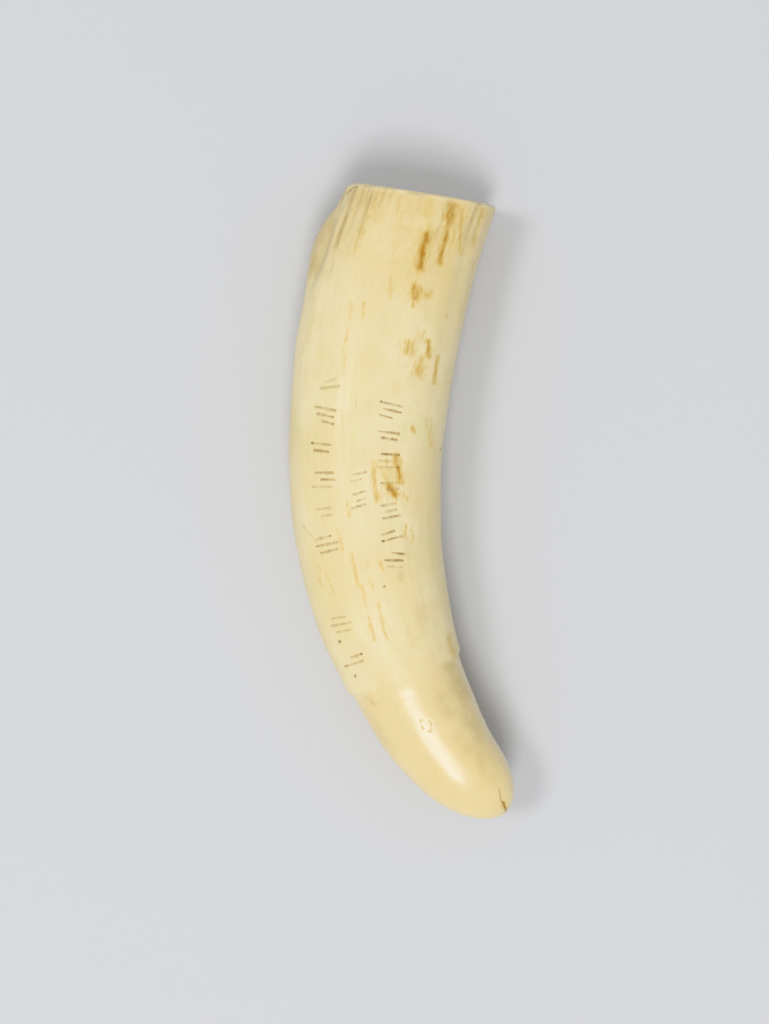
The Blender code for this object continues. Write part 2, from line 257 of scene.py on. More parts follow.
def along(distance, column):
    """A column of SECTIONS at a distance from the root, on a smooth curve that never overshoots."""
    table = np.array(SECTIONS, float) * MM
    place = table[:, 0]
    value = table[:, column]
    gap = np.diff(place)
    slope = np.diff(value) / gap
    tangent = np.zeros(len(place))
    same_way = slope[:-1] * slope[1:] > 0
    mean = 2 * slope[:-1] * slope[1:] / np.where(same_way, slope[:-1] + slope[1:], 1)
    tangent[1:-1] = np.where(same_way, mean, 0)
    tangent[0] = slope[0]
    tangent[-1] = slope[-1]
    distance = np.asarray(distance, float)
    i = np.clip(np.searchsorted(place, distance) - 1, 0, len(gap) - 1)
    t = (distance - place[i]) / gap[i]
    from_start = (1 + 2 * t) * (1 - t) ** 2 * value[i] + t * (1 - t) ** 2 * gap[i] * tangent[i]
    from_end = t * t * (3 - 2 * t) * value[i + 1] + t * t * (t - 1) * gap[i] * tangent[i + 1]
    return from_start + from_end


def eased(value, start, end):
    """0 at the start, 1 at the end, smooth between them."""
    t = np.clip((value - start) / (end - start), 0, 1)
    return t * t * (3 - 2 * t)


def heading(distance):
    t = distance / AXIS_LENGTH
    return ROOT_HEADING + TURN * (EARLY_TURN * t + (1 - EARLY_TURN) * t * t)


def axis_point(distance):
    """Plan position of the centre line, with the root end's centre at (0, 0)."""
    steps = np.linspace(-0.1, 1.1, 2401) * AXIS_LENGTH
    turned = heading(steps)
    middle = (turned[1:] + turned[:-1]) / 2
    x = np.concatenate([[0], np.cumsum(np.cos(middle) * np.diff(steps))])
    y = np.concatenate([[0], np.cumsum(np.sin(middle) * np.diff(steps))])
    x -= np.interp(0, steps, x)
    y -= np.interp(0, steps, y)
    return np.interp(distance, steps, x), np.interp(distance, steps, y)


def noise(u, v, seed, period=256):
    """Smooth noise from -1 to 1 with a grain of 1 each way, which repeats over a period of v."""
    grid = np.random.default_rng(seed).uniform(-1, 1, (256, period))
    row = np.floor(u).astype(int)
    column = np.floor(v).astype(int)
    a = u - row
    b = v - column
    a = a * a * (3 - 2 * a)
    b = b * b * (3 - 2 * b)
    near = grid[row % 256, column % period] * (1 - b) + grid[row % 256, (column + 1) % period] * b
    far = grid[(row + 1) % 256, column % period] * (1 - b) + grid[(row + 1) % 256, (column + 1) % period] * b
    return near * (1 - a) + far * a


def around(angle, cells):
    """The angle as a count of noise cells round the tooth."""
    return angle / (2 * math.pi) * cells


def neck_line(angle):
    """Where the neck's step lies, wavering round the tooth."""
    return NECK_PLACE + NECK_SKEW * np.cos(angle) + 0.7 * MM * noise(0 * angle, around(angle, 9), 3, 9)


def relief(distance, angle):
    """How far the lobe, the flutes and the neck's step move the surface outwards."""
    off_lobe = (np.mod(angle - LOBE_ANGLE + math.pi, 2 * math.pi) - math.pi) / LOBE_SPREAD
    rise = np.clip((distance - LOBE_START) / (LOBE_FULL - LOBE_START), 0, 1)
    lobe = LOBE_HEIGHT * np.exp(-0.5 * off_lobe**2) * np.sqrt(1 - (1 - rise) ** 2)
    lobe = lobe * (1 - eased(distance, LOBE_FULL, LOBE_END))
    flutes = FLUTE_DEPTH * np.cos(FLUTES * angle) * (1 - eased(distance, 0, FLUTE_END))
    sides = np.cos(angle) ** 2
    length = NECK_LENGTH * (2.6 - 2.1 * sides)
    neck = neck_line(angle)
    step = NECK_STEP * eased(distance, neck - length / 2, neck + length / 2)
    return lobe + 0.5 * flutes - step


def section(distance, angle):
    """The surface's place across the tooth and above the centre line's plane."""
    cos = np.cos(angle)
    sin = np.sin(angle)
    across = np.where(cos < 0, along(distance, 1), along(distance, 2))
    upward = np.where(sin < 0, along(distance, 4), along(distance, 3))
    power = 2 / SQUARENESS
    out = relief(distance, angle)
    t = np.clip((distance - AXIS_LENGTH + TIP_LENGTH) / TIP_LENGTH, 0, 1)
    rounding = np.sqrt(1 - t * t)
    side = (across * np.sign(cos) * np.abs(cos) ** power + out * cos) * rounding
    lift = (upward * np.sign(sin) * np.abs(sin) ** power + out * sin) * rounding
    return side + BELLY_LEAN * np.maximum(-lift, 0), lift


def placed(distance, side, lift):
    """World points from distances along the centre line, offsets to the concave side and heights."""
    x, y = axis_point(distance)
    turned = heading(distance)
    return np.stack([x - np.sin(turned) * side, y + np.cos(turned) * side, AXIS_HEIGHT + lift], axis=-1)


def saw_normal():
    """Out of the sawn end, leaning back so that its top is nearer the tip."""
    level = math.cos(SAW_LEAN)
    return np.array([-level * math.cos(SAW_HEADING), -level * math.sin(SAW_HEADING), math.sin(SAW_LEAN)])


def sheared(distance, angle, share):
    """Distances moved so that distance 0 lies in the sawn plane, at a share of the tooth's width."""
    blend = 1 - eased(distance, 0, SAW_BLEND)
    shift = np.zeros(angle.shape)
    normal = saw_normal()
    start = np.array([0, 0, AXIS_HEIGHT])
    for _ in range(6):
        side, lift = section(np.maximum(shift, 0), angle)
        off_plane = (placed(shift, side * share, lift * share) - start) @ normal
        ahead = -np.cos(heading(shift)) * normal[0] - np.sin(heading(shift)) * normal[1]
        shift = shift + off_plane / ahead
    return distance + shift * blend


def top_at(place, offset):
    """Height of the upper side over the centre line's plane, at a place along the tooth and an offset."""
    half = along(place, 1) if offset < 0 else along(place, 2)
    return along(place, 3) * (1 - (abs(offset) / half) ** SQUARENESS) ** (1 / SQUARENESS)


def worn_tip(points):
    """Presses what stands out past the worn facet's plane back on to it."""
    centre = placed(FACET_PLACE, FACET_REACH, 0)
    level = math.cos(FACET_TILT)
    across = np.array([-math.sin(FACET_HEADING), math.cos(FACET_HEADING)])
    normal = np.array([*(level * across), math.sin(FACET_TILT)])
    beyond = np.maximum((points - centre) @ normal, 0)
    near_tip = np.linalg.norm(points - centre, axis=-1) < TIP_LENGTH
    return points - (beyond * near_tip)[..., None] * normal


def rim_radius(angle):
    """Radius of the sawn end's rim, which is worn rounder at the corners that show from above."""
    radius = RIM_RADIUS * (1 + 0.3 * noise(around(angle, 40), 0 * angle, 2, 40))
    for corner, more in CORNERS:
        off = (np.mod(angle - corner + math.pi, 2 * math.pi) - math.pi) / CORNER_SPREAD
        radius = radius + more * np.exp(-(off**2))
    return radius


def surface(place, angle):
    """Points of the whole surface, and their distance, side and lift along the straightened tooth.

    A place above 0 is a distance along the outer surface. From 0 to -1 it crosses the sawn face from its rim
    to the cavity's mouth, and from -1 to -2 it goes down the cavity.
    """
    distance = np.maximum(place, 0)
    side, lift = section(distance, angle)
    radius = rim_radius(angle)
    step = np.arcsin(np.clip(1 - distance / radius, 0, 1))
    share = 1 - radius * (1 - np.cos(step)) / np.maximum(np.hypot(side, lift), radius)
    share = share + (CAVITY_MOUTH - share) * np.clip(-place, 0, 1)
    depth = np.clip(-1 - place, 0, 1)
    inside = CAVITY_END + (CAVITY_MOUTH - CAVITY_END) * (1 - depth**1.5)
    share = np.where(depth > 0, inside, share)
    moved = sheared(distance + depth * CAVITY_DEPTH, angle, share)
    side, lift = section(np.maximum(moved, 0), angle)
    side = side * share
    lift = lift * share
    points = placed(moved, side, lift)
    points = np.where((place > 0)[..., None], worn_tip(points), points)
    return points, moved, side, lift


def grid_places():
    """Places of the rings, closer together at the rim, the cavity's mouth, the neck and the tip."""
    neck_start = NECK_PLACE - 3 * MM
    neck_end = NECK_PLACE + 3 * MM
    tip_start = AXIS_LENGTH - TIP_LENGTH
    rim_end = 2 * MM
    body = np.linspace(rim_end, neck_start, OUTER_RINGS - 80, endpoint=False)
    neck = np.linspace(neck_start, neck_end, 24, endpoint=False)
    crown = np.linspace(neck_end, tip_start, 30, endpoint=False)
    quarter = np.linspace(0, math.pi / 2, 22, endpoint=False)
    tip = tip_start + TIP_LENGTH * np.sin(quarter)
    rim = rim_end * (1 - np.sin(np.linspace(math.pi / 2, 0, 10, endpoint=False)))
    face = -np.linspace(1, 0, FACE_RINGS, endpoint=False)
    cavity = -1 - np.linspace(1, 0, CAVITY_RINGS, endpoint=False) ** 1.3
    return np.concatenate([cavity, face, rim, body, neck, crown, tip])


def even_angles():
    """Angles of the columns from the belly round, closer together on the upper side, with the first repeated."""
    angle = np.linspace(0, 2 * math.pi, 1440) - math.pi / 2
    side, lift = section(np.full(angle.shape, 60 * MM), angle)
    density = 1 + (UPPER_DENSITY - 1) * eased(np.sin(angle[1:]), -0.35, 0.1)
    run = np.concatenate([[0], np.cumsum(np.hypot(np.diff(side), np.diff(lift)) * density)])
    return np.interp(np.linspace(0, run[-1], COLUMNS + 1), run, angle)


def varied(count, low, high):
    """A value between low and high that looks irregular from one count to the next."""
    return low + (high - low) * (count * GOLDEN % 1)


def stroke_lines():
    """Each stroke's two ends, as (distance, side) pairs, with its row."""
    lines = []
    for row, (side, first, last, groups, reach) in enumerate(STROKE_ROWS):
        for group in range(groups):
            middle = first + (last - first) * group / (groups - 1)
            strokes = 2 + (group + row) % 2
            lean = varied(3 * group + row, -STROKE_LEAN, STROKE_LEAN)
            for stroke in range(strokes):
                count = 7 * row + 3 * group + stroke
                length = reach * varied(count, SHORTEST_STROKE, 1)
                centre = side + (reach - length) * varied(2 * count + 1, -0.5, 0.5)
                place = middle + STROKE_PITCH * (stroke - (strokes - 1) / 2)
                start = (place - lean, centre - length / 2)
                end = (place + lean, centre + length / 2)
                lines.append((start, end, row))
    return lines


def off_line(distance, side, start, end):
    """How far points lie from a line between two (distance, side) places, and the share along it."""
    along_line = np.array(end) - np.array(start)
    rel_d = distance - start[0]
    rel_s = side - start[1]
    share = np.clip((rel_d * along_line[0] + rel_s * along_line[1]) / (along_line @ along_line), 0, 1)
    return np.hypot(rel_d - share * along_line[0], rel_s - share * along_line[1]), share


def off_ring(distance, side, place, offset, half_length, half_width):
    """How far points lie from an oval on the tooth, and their turn round it."""
    turn = np.arctan2(side - offset, distance - place)
    wobble = 1 + 0.18 * noise(around(turn, 7), 0 * turn, 41, 7)
    radius = np.hypot((distance - place) / half_length, (side - offset) / half_width)
    return np.abs(radius - wobble) * (half_length + half_width) / 2, turn


def to_nearest_mark(distance, side):
    """How far points lie from the nearest stroke, ring or scratch."""
    nearest = np.full(distance.shape, 1.0)
    for start, end, _ in stroke_lines():
        nearest = np.minimum(nearest, off_line(distance, side, start, end)[0])
    for start, end, *_ in SCRATCHES:
        nearest = np.minimum(nearest, off_line(distance, side, start, end)[0])
    for place, offset, half_length, half_width, *_ in RINGS:
        nearest = np.minimum(nearest, off_ring(distance, side, place, offset, half_length, half_width)[0])
    return nearest


def add_grid():
    """The even grid as a mesh, with each point's place and angle, and the unrolled surface as its UV map."""
    places = grid_places()
    angles = even_angles()
    rings = len(places)
    place = np.concatenate([np.repeat(places, COLUMNS), [-2.03, AXIS_LENGTH]])
    angle = np.concatenate([np.tile(angles[:-1], rings), [0, 0]])
    ring = np.arange(rings - 1)[:, None]
    column = np.arange(COLUMNS)[None, :]
    after = (column + 1) % COLUMNS
    corners = (ring * COLUMNS + column, ring * COLUMNS + after, (ring + 1) * COLUMNS + after, (ring + 1) * COLUMNS + column)
    quads = np.stack(np.broadcast_arrays(*corners), axis=-1).reshape(-1, 4)
    deep = rings * COLUMNS
    tip = deep + 1
    last = (rings - 1) * COLUMNS
    columns = np.arange(COLUMNS)
    deep_fan = np.stack([np.full(COLUMNS, deep), (columns + 1) % COLUMNS, columns], axis=-1)
    tip_fan = np.stack([np.full(COLUMNS, tip), last + columns, last + (columns + 1) % COLUMNS], axis=-1)
    points = surface(place, angle)[0]
    mesh = bpy.data.meshes.new("tooth_ivory")
    mesh.from_pydata(points, [], [face.tolist() for part in (quads, deep_fan, tip_fan) for face in part])
    for name, value in (("place", place), ("angle", angle)):
        mesh.attributes.new(name, "FLOAT", "POINT").data.foreach_set("value", value.astype(np.float32))
    add_unrolled_map(mesh, places, len(quads))
    return mesh


def add_unrolled_map(mesh, places, quads):
    """UV map: the outer surface fills most of it, the sawn face and the cavity a strip along its top."""
    outer = places > 0
    across = np.where(outer, 0, np.linspace(0.995, 0.885, len(places)))
    lengths = np.cumsum(np.where(outer, np.gradient(places), 0))
    lengths = 0.01 + 0.97 * lengths / lengths.max()
    uv = np.zeros((len(mesh.loops), 2))
    face = 0
    for ring in range(len(places) - 1):
        first = outer[ring]
        for column in range(COLUMNS):
            turn = (column / COLUMNS, (column + 1) / COLUMNS)
            if first:
                low, high = lengths[ring], lengths[ring + 1]
                corners = [(low, turn[0]), (low, turn[1]), (high, turn[1]), (high, turn[0])]
                corners = [(a, 0.01 + 0.85 * b) for a, b in corners]
            else:
                low, high = across[ring], across[ring + 1] if not outer[ring + 1] else 0.88
                corners = [(turn[0], low), (turn[1], low), (turn[1], high), (turn[0], high)]
            uv[4 * face : 4 * face + 4] = corners
            face += 1
    start = 4 * quads
    for column in range(COLUMNS):
        turn = (column / COLUMNS, (column + 1) / COLUMNS)
        middle = (turn[0] + turn[1]) / 2
        uv[start : start + 3] = [(middle, 0.998), (turn[1], 0.995), (turn[0], 0.995)]
        start += 3
    for column in range(COLUMNS):
        turn = (column / COLUMNS, (column + 1) / COLUMNS)
        turn = [0.01 + 0.85 * t for t in turn]
        middle = (turn[0] + turn[1]) / 2
        uv[start : start + 3] = [(0.985, middle), (lengths[-1], turn[0]), (lengths[-1], turn[1])]
        start += 3
    layer = mesh.uv_layers.new(name="OFBake")
    layer.data.foreach_set("uv", uv.ravel())


def refine(mesh):
    """Halves the grid near the marks, twice."""
    bm = bmesh.new()
    bm.from_mesh(mesh)
    place_layer = bm.verts.layers.float["place"]
    angle_layer = bm.verts.layers.float["angle"]
    for reach in FINE_REACH:
        faces = [f for f in bm.faces if f.verts[0][place_layer] > MM]
        faces = [f for f in faces if 0.1 < f.verts[0][angle_layer] < math.pi - 0.1]
        place = np.array([np.mean([v[place_layer] for v in f.verts]) for f in faces])
        angle = np.array([np.mean([v[angle_layer] for v in f.verts]) for f in faces])
        _, distance, side, _ = surface(place, angle)
        near = to_nearest_mark(distance, side) < reach
        edges = {e for f, chosen in zip(faces, near) if chosen for e in f.edges}
        bmesh.ops.subdivide_edges(bm, edges=list(edges), cuts=1, use_grid_fill=True)
    bm.to_mesh(mesh)
    bm.free()


def stroke_marks(distance, side, angle):
    """Depth of the strokes cut into the upper side, and how dark the colour rubbed into them is.

    Each stroke is faint and uneven, and in some the colour has pooled at one end.
    """
    depth = np.zeros(distance.shape)
    dark = np.zeros(distance.shape)
    for count, (start, end, row) in enumerate(stroke_lines()):
        if count % 2:
            start, end = end, start
        off, share = off_line(distance, side, start, end)
        run = share * math.dist(start, end)
        uneven = 0.85 + 0.3 * noise(run / (0.6 * MM) + 9.3 * count, 0 * off, 11)
        width = GROOVE_WIDTH * (0.82 + 0.2 * noise(run / (0.9 * MM) + 5.1 * count, 0 * off, 12))
        core = eased(off, 0.72 * width, 0.22 * width)
        strength = ROW_DARKNESS[row] * varied(5 * count + 2, 0.26, 0.60)
        pool = ROW_DARKNESS[row] * max(varied(3 * count + 1, -0.9, 1.0), 0)
        pool_radius = POOL_RADIUS * varied(8 * count + 3, 0.75, 1.15)
        to_end = np.hypot(distance - end[0], (side - end[1]) * 0.8)
        dark = np.maximum(dark, strength * uneven * core)
        dark = np.maximum(dark, pool * eased(to_end, pool_radius, 0.25 * pool_radius))
        depth = np.maximum(depth, GROOVE_DEPTH * core)
    upper = np.sin(angle) > 0.1
    return depth * upper, dark * upper


def blobs(distance, side, angle, rows):
    """The strongest of some soft streaks on the upper side at each point."""
    strongest = np.zeros(distance.shape)
    for start_place, start_offset, end_place, end_offset, half_width, strength in rows:
        start = (start_place * MM, start_offset * MM)
        end = (end_place * MM, end_offset * MM)
        off, _ = off_line(distance, side, start, end)
        strongest = np.maximum(strongest, strength * np.exp(-((off / (1.15 * half_width * MM)) ** 1.6)))
    return strongest * eased(np.sin(angle), -0.45, -0.05)


def long_grooves(distance, side, angle):
    """Depth of the root's long grooves, which waver and fade toward their ends."""
    depth = np.zeros(distance.shape)
    for count, (offset, end, cut, half_width) in enumerate(LONG_GROOVES):
        wander = 0.35 * MM * noise(distance / (5 * MM), 0 * distance + 5.5 * count, 31)
        off = (side - offset * MM - wander) / (half_width * MM)
        fade = 1 - eased(distance, 0.5 * end * MM, end * MM)
        uneven = 0.7 + 0.5 * noise(distance / (3 * MM), 0 * distance + 3.5 * count, 32)
        depth = np.maximum(depth, cut * MM * np.exp(-(off**2)) * fade * uneven)
    return depth * (np.sin(angle) > 0)


def lobe_crease(distance, side, angle):
    """Depth of the valley between the root's ribs and the swelling below them."""
    middle = -(14.4 + 1.3 * ((distance / MM - 16) / 9) ** 2) * MM
    off = (side - middle) / (0.9 * MM)
    depth = 0.45 * MM * np.exp(-(off**2)) * eased(distance, 7 * MM, 12 * MM)
    return depth * (1 - eased(distance, 18 * MM, 27 * MM)) * (np.sin(angle) > -0.1)


def fine_relief(place, angle, distance, side, lift):
    """Small shapes over the smooth form: ribs, unevenness, saw marks, cavity ridges. Positive is outwards."""
    outside = place > 0
    root = 1 - eased(distance, 4 * MM, 46 * MM)
    convex = 0.35 + 0.65 * eased(np.cos(angle - math.radians(140)), 0.3, 0.95)
    wander = 0.35 * noise(distance / (9 * MM), around(angle, 24), 21, 24)
    ribs = noise(distance / (30 * MM), around(angle, 88) + wander, 22, 88)
    ribs = ribs + 0.6 * noise(distance / (14 * MM), around(angle, 140) + wander, 23, 140)
    ribs = -np.abs(ribs) * 0.16 * MM * root * convex - long_grooves(distance, side, angle)
    fibres = 0.035 * MM * noise(distance / (6 * MM), around(angle, 120), 24, 120)
    fibres = fibres * (1 - eased(distance, NECK_PLACE - 4 * MM, NECK_PLACE + 2 * MM))
    swell = 0.16 * MM * noise(distance / (11 * MM), around(angle, 8), 25, 8)
    crease = -lobe_crease(distance, side, angle)
    waves = 0.03 * MM * noise(distance / (3.5 * MM), around(angle, 20), 33, 20)
    waves = waves * eased(distance, NECK_PLACE, NECK_PLACE + 4 * MM)
    nicks = noise(around(angle, 60), place / (1.5 * MM), 26) + 0.4
    nicks = -0.50 * MM * np.clip(-nicks, 0, 1) * np.exp(-((place / (1.4 * MM)) ** 2))
    wear = -0.06 * MM * np.exp(-((place / (1.0 * MM)) ** 2)) * (1 + noise(around(angle, 33), 0 * angle, 27, 33))
    skin = (ribs + fibres + swell + crease + waves + nicks + wear) * outside
    on_face = (place <= 0) & (place >= -1)
    saw = 0.05 * MM * noise((lift + 0.25 * side) / (0.9 * MM), side / (25 * MM), 28) * on_face
    mouth = -0.35 * MM * np.exp(-(((place + 1) / 0.07) ** 2)) * (1 + 0.5 * noise(around(angle, 9), 0 * angle, 29, 9))
    inside = np.clip(-1 - place, 0, 1)
    ridges = 0.4 * MM * noise(distance / (12 * MM), around(angle, 32), 30, 32) * eased(inside, 0.02, 0.30)
    ridges = ridges * (1 - eased(inside, 0.75, 1))
    return skin + saw + mouth * (place < -0.5) + ridges


def special_marks(distance, side, lift, angle):
    """Depth and darkness of the single scratches, cracks, rings and dots on the upper side."""
    upper = np.sin(angle) > 0
    depth = np.zeros(distance.shape)
    dark = np.zeros(distance.shape)
    for place, offset, half_length, half_width, width, cut, darkness in RINGS:
        off, turn = off_ring(distance, side, place, offset, half_length, half_width)
        on_ring = np.clip(1 - off / width, 0, 1)
        broken = np.clip(0.55 + 0.9 * noise(around(turn, 9), 0 * turn, 42, 9), 0, 1)
        depth = np.maximum(depth, cut * on_ring * broken)
        dark = np.maximum(dark, darkness * on_ring * broken)
    for start, end, width, cut, darkness in SCRATCHES:
        off, _ = off_line(distance, side, start, end)
        on_line = np.clip(1 - off / width, 0, 1)
        depth = np.maximum(depth, cut * on_line)
        dark = np.maximum(dark, darkness * eased(on_line, 0, 0.8))
    for place, offset, radius in DOTS:
        off = np.sqrt((distance - place) ** 2 + (side - offset) ** 2 + (lift - top_at(place, offset)) ** 2)
        dot = eased(off, radius * 1.25, radius * 0.4)
        depth = np.maximum(depth, DOT_DEPTH * dot)
        dark = np.maximum(dark, 0.85 * dot)
    return depth * upper, dark * upper


def read_floats(mesh, name):
    values = np.zeros(len(mesh.vertices), np.float32)
    mesh.attributes[name].data.foreach_get("value", values)
    return values.astype(float)


def write_floats(mesh, name, values):
    mesh.attributes.new(name, "FLOAT", "POINT").data.foreach_set("value", values.astype(np.float32))


def make_tooth():
    mesh = add_grid()
    refine(mesh)
    place = read_floats(mesh, "place")
    angle = read_floats(mesh, "angle")
    points, distance, side, lift = surface(place, angle)
    mesh.vertices.foreach_set("co", points.astype(np.float32).ravel())
    mesh.update()
    normals = np.zeros(len(mesh.vertices) * 3, np.float32)
    mesh.vertex_normals.foreach_get("vector", normals)
    normals = normals.reshape(-1, 3).astype(float)
    outside = place > 0
    middle = (points[:, :2].min(axis=0) + points[:, :2].max(axis=0)) / 2
    depth, dark = stroke_marks(distance, side, angle)
    more_depth, more_dark = special_marks(distance, side, lift, angle)
    out = fine_relief(place, angle, distance, side, lift) - np.maximum(depth, more_depth) * outside
    points = points + out[:, None] * normals
    points[:, :2] -= middle
    low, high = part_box("tooth")
    points = np.clip(points, np.array(low) - 0.3 * MM, np.array(high) + 0.3 * MM)
    points[:, 2] = np.maximum(points[:, 2], 0)
    mesh.vertices.foreach_set("co", points.astype(np.float32).ravel())
    mesh.update()
    mesh.shade_smooth()
    write_floats(mesh, "pigment", np.maximum(dark, more_dark) * outside)
    write_floats(mesh, "stain", blobs(distance, side, angle, STAINS) * outside)
    write_floats(mesh, "smudge_and_shade", blobs(distance, side, angle, SMUDGES_AND_SHADE) * outside)
    # Painted highlight: a light band along the sawn rim's edge, as if its rounding caught the light
    write_floats(mesh, "rim", np.exp(-((np.maximum(place, 0) / (0.9 * MM)) ** 2)) * (place > -0.2))
    # Painted shade, with the grooves' own brown: how far the root's long grooves and the lobe's crease are darkened
    # toward tan
    groove_brown_and_shade = long_grooves(distance, side, angle) / (0.22 * MM)
    groove_brown_and_shade = np.maximum(groove_brown_and_shade, lobe_crease(distance, side, angle) / (1.2 * MM))
    write_floats(mesh, "groove_brown_and_shade", np.clip(groove_brown_and_shade, 0, 1) * outside)
    neck = neck_line(angle)
    write_floats(mesh, "crown", eased(distance, neck - 1.5 * MM, neck + 2.5 * MM) * outside)
    write_floats(mesh, "inside", eased(-place, 0.97, 1.12))
    write_floats(mesh, "sawn", eased(-place, -0.0004, 0.02))
    straight = np.stack([distance, side, lift], axis=-1) / MM
    mesh.attributes.new("straight", "FLOAT_VECTOR", "POINT").data.foreach_set(
        "vector", straight.astype(np.float32).ravel()
    )
    mesh.calc_loop_triangles()
    print("triangles", len(mesh.loop_triangles))
    assert len(mesh.loop_triangles) < MOST_TRIANGLES
    tooth = bpy.data.objects.new("tooth_ivory", mesh)
    bpy.context.scene.collection.objects.link(tooth)
    mesh.materials.append(ivory())
    return tooth


class Nodes:
    """Adds nodes to a material."""

    def __init__(self, name):
        self.material = bpy.data.materials.new(name)
        self.material.use_nodes = True
        self.tree = self.material.node_tree
        self.shader = self.tree.nodes["Principled BSDF"]

    def feed(self, socket, value):
        if isinstance(value, bpy.types.NodeSocket):
            self.tree.links.new(value, socket)
        else:
            socket.default_value = value

    def add(self, kind, inputs, output=0, **settings):
        made = self.tree.nodes.new(kind)
        for name, value in settings.items():
            setattr(made, name, value)
        for key, value in inputs.items():
            self.feed(made.inputs[key], value)
        return made.outputs[output]

    def attribute(self, name, output="Fac"):
        return self.add("ShaderNodeAttribute", {}, output, attribute_name=name)

    def stretched(self, vector, factors):
        return self.add("ShaderNodeVectorMath", {0: vector, 1: factors}, operation="MULTIPLY")

    def noise(self, vector, scale, detail=3.0, rough=0.55, distort=0.0):
        inputs = {"Vector": vector, "Scale": scale, "Detail": detail, "Roughness": rough, "Distortion": distort}
        return self.add("ShaderNodeTexNoise", inputs)

    def ramp(self, value, low, high, start=0.0, end=1.0):
        inputs = {0: value, 1: low, 2: high, 3: start, 4: end}
        return self.add("ShaderNodeMapRange", inputs, interpolation_type="SMOOTHSTEP")

    def math(self, operation, a, b):
        return self.add("ShaderNodeMath", {0: a, 1: b}, operation=operation)

    def mix(self, share, first, second, blend="MIX"):
        made = self.tree.nodes.new("ShaderNodeMix")
        made.data_type = "RGBA"
        made.blend_type = blend
        self.feed(made.inputs["Factor"], share)
        self.feed(made.inputs[6], first)
        self.feed(made.inputs[7], second)
        return made.outputs[2]


def rgb(red, green, blue):
    return (red, green, blue, 1)


CREAM = rgb(0.81, 0.68, 0.385)
PALE = rgb(0.85, 0.745, 0.475)
GREEN_CREAM = rgb(0.76, 0.68, 0.37)
WARM = rgb(0.75, 0.57, 0.24)
HONEY = rgb(0.83, 0.67, 0.345)
SMUDGE_AND_SHADE = rgb(0.55, 0.42, 0.16)
GOLD = rgb(0.735, 0.565, 0.225)
TAN = rgb(0.63, 0.42, 0.12)
OCHRE = rgb(0.46, 0.225, 0.02)
SCRATCH = rgb(0.46, 0.32, 0.13)
PIGMENT = rgb(0.13, 0.092, 0.034)
# Tan brown: the pulp cavity's colour, and the painted shade in the root's grooves and the lobe's crease
MID_BROWN = rgb(0.50, 0.36, 0.14)
PULP = rgb(0.40, 0.26, 0.12)


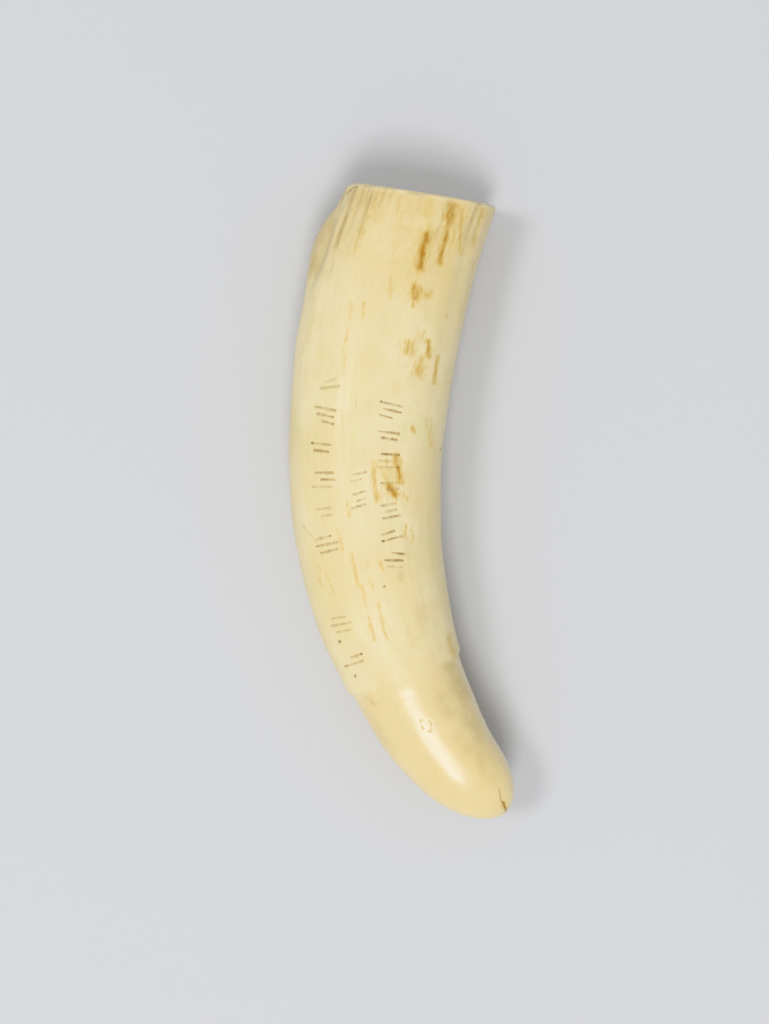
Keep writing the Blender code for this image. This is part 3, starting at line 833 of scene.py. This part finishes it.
def ivory():
    """Old ivory: satin and fibrous on the root, glossy on the crown, with stains, and colour in its scratches."""
    n = Nodes("ivory")
    place = n.attribute("straight", "Vector")
    fibre = n.stretched(place, (0.12, 1.0, 1.0))
    broad = n.noise(place, 0.07, 2.0)
    patch = n.noise(place, 0.22, 3.0)
    fine = n.noise(fibre, 1.1, 4.0, 0.6)
    grain = n.noise(n.stretched(place, (0.3, 1.0, 1.0)), 1.7, 5.0, 0.65)
    distance = n.add("ShaderNodeSeparateXYZ", {0: place}, "X")
    crown = n.attribute("crown")
    colour = n.mix(n.ramp(broad, 0.35, 0.65), CREAM, PALE)
    colour = n.mix(n.ramp(patch, 0.5, 0.68, 0.0, 0.6), colour, GREEN_CREAM)
    colour = n.mix(n.ramp(fine, 0.45, 0.75, 0.0, 0.22), colour, WARM)
    old_edge = n.math("MULTIPLY", n.ramp(distance, -4.0, 36.0, 0.8, 0.0), n.ramp(patch, 0.3, 0.65, 0.45, 1.0))
    colour = n.mix(old_edge, colour, WARM)
    colour = n.mix(n.math("MULTIPLY", crown, n.ramp(broad, 0.3, 0.7, 0.55, 1.0)), colour, HONEY)
    # Olive-brown clouds; the row on the swelling below the root's ribs is partly painted shade
    smudge_and_shade = n.math("MULTIPLY", n.attribute("smudge_and_shade"), n.ramp(n.noise(place, 0.35, 3.0), 0.3, 0.65, 0.45, 1.0))
    colour = n.mix(n.math("MULTIPLY", smudge_and_shade, 0.8), colour, SMUDGE_AND_SHADE)
    hair = n.noise(n.stretched(place, (0.10, 1.0, 1.0)), 1.5, 3.0, 0.5, 0.4)
    faint = n.math("MULTIPLY", n.ramp(hair, 0.62, 0.74), n.ramp(n.noise(place, 0.12, 1.0), 0.45, 0.65, 0.0, 0.30))
    faint = n.math("MULTIPLY", faint, n.ramp(crown, 0.0, 1.0, 1.0, 0.1))
    colour = n.mix(faint, colour, GOLD)
    stain = n.math("ADD", n.attribute("stain"), n.ramp(grain, 0.25, 0.75, -0.3, 0.3))
    colour = n.mix(n.ramp(stain, 0.12, 0.60, 0.0, 0.90), colour, GOLD)
    colour = n.mix(n.ramp(stain, 0.45, 0.95, 0.0, 0.90), colour, TAN)
    colour = n.mix(n.ramp(stain, 0.80, 1.30, 0.0, 0.90), colour, OCHRE)
    # Painted shade in the root's grooves and the lobe's crease, with the grooves' own brown, darkened toward tan
    groove_brown_and_shade = n.math("MULTIPLY", n.attribute("groove_brown_and_shade"), n.ramp(grain, 0.35, 0.65, 0.5, 1.0))
    colour = n.mix(groove_brown_and_shade, colour, MID_BROWN)
    # Painted highlight: the sawn rim's edge lightened toward PALE
    colour = n.mix(n.math("MULTIPLY", n.attribute("rim"), 0.75), colour, PALE)
    pigment = n.math("MULTIPLY", n.attribute("pigment"), n.ramp(n.noise(place, 4.0, 2.0), 0.3, 0.6, 0.55, 1.0))
    colour = n.mix(n.ramp(pigment, 0.0, 0.45, 0.0, 0.95), colour, SCRATCH)
    colour = n.mix(n.ramp(pigment, 0.30, 0.95, 0.0, 0.95), colour, PIGMENT)
    inside = n.attribute("inside")
    pulp = n.mix(n.ramp(n.noise(fibre, 0.6, 4.0), 0.3, 0.7), PULP, MID_BROWN)
    colour = n.mix(inside, colour, pulp)
    n.feed(n.shader.inputs["Base Color"], colour)
    rough = n.math("SUBTRACT", n.ramp(fine, 0.3, 0.7, 0.32, 0.46), n.math("MULTIPLY", crown, 0.10))
    rough = n.math("ADD", rough, n.math("MULTIPLY", n.math("MAXIMUM", inside, n.attribute("sawn")), 0.22))
    n.feed(n.shader.inputs["Roughness"], rough)
    polish = n.math("MULTIPLY", n.ramp(distance, 4.0, 30.0, 0.45, 0.0), n.ramp(patch, 0.4, 0.6))
    gloss = n.math("MULTIPLY", crown, n.ramp(n.attribute("stain"), 0.2, 0.7, 0.85, 0.1))
    n.feed(n.shader.inputs["Coat Weight"], n.math("MAXIMUM", gloss, polish))
    n.feed(n.shader.inputs["Coat Roughness"], 0.19)
    n.feed(n.shader.inputs["Subsurface Weight"], 0.15)
    n.feed(n.shader.inputs["Subsurface Radius"], (1.0, 0.65, 0.35))
    n.feed(n.shader.inputs["Subsurface Scale"], 1.2 * MM)
    height = n.math("MULTIPLY", n.noise(fibre, 2.4, 5.0, 0.6), n.ramp(crown, 0.0, 1.0, 1.0, 0.05))
    bump = n.add("ShaderNodeBump", {"Strength": 0.35, "Distance": 0.06 * MM, "Height": height}, "Normal")
    n.feed(n.shader.inputs["Normal"], bump)
    return n.material


def make_floor():
    mesh = bpy.data.meshes.new("floor")
    reach = 4.0
    mesh.from_pydata([(-reach, -reach, 0), (reach, -reach, 0), (reach, reach, 0), (-reach, reach, 0)], [], [(0, 1, 2, 3)])
    floor = bpy.data.objects.new("floor", mesh)
    bpy.context.scene.collection.objects.link(floor)
    n = Nodes("pale_floor")
    n.feed(n.shader.inputs["Base Color"], rgb(0.62, 0.63, 0.66))
    n.feed(n.shader.inputs["Roughness"], 0.85)
    mesh.materials.append(n.material)


def add_light(name, place, size, power, colour):
    """A square area light that faces the tooth."""
    light = bpy.data.lights.new(name, "AREA")
    light.size = size
    light.energy = power
    light.color = colour
    obj = bpy.data.objects.new(name, light)
    obj.location = place
    obj.rotation_euler = (-Vector(place)).to_track_quat("-Z", "Y").to_euler()
    bpy.context.scene.collection.objects.link(obj)


def make_lights():
    add_light("key", (1.05, -0.06, 2.16), 0.75, 26.1, (1.0, 0.985, 0.95))
    add_light("side", (-0.06, -1.08, 2.10), 0.48, 12.6, (1.0, 0.985, 0.95))
    world = bpy.data.worlds.new("studio")
    world.use_nodes = True
    world.node_tree.nodes["Background"].inputs["Color"].default_value = (0.97, 0.985, 1.0, 1)
    world.node_tree.nodes["Background"].inputs["Strength"].default_value = 0.56
    bpy.context.scene.world = world


def make_camera():
    camera = bpy.data.cameras.new("camera")
    camera.sensor_width = SENSOR
    distance = CAMERA_PLACE[2] - AXIS_HEIGHT
    camera.lens = SENSOR * distance / (CAMERA_HEIGHT_SEEN * PHOTO_HEIGHT)
    camera.clip_start = 0.01
    obj = bpy.data.objects.new("camera", camera)
    obj.location = CAMERA_PLACE
    obj.rotation_euler = (0, 0, math.pi / 2)
    bpy.context.scene.collection.objects.link(obj)
    bpy.context.scene.camera = obj


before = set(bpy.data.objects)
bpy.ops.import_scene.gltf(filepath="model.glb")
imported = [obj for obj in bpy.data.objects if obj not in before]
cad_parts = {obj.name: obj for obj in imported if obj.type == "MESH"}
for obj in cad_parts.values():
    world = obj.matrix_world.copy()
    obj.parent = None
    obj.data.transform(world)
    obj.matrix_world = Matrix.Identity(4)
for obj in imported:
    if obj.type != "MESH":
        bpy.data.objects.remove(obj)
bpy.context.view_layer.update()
tooth = make_tooth()
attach(tooth, "root")
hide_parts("tooth")
make_floor()
make_lights()
make_camera()
bpy.context.scene.view_settings.view_transform = "Khronos PBR Neutral"
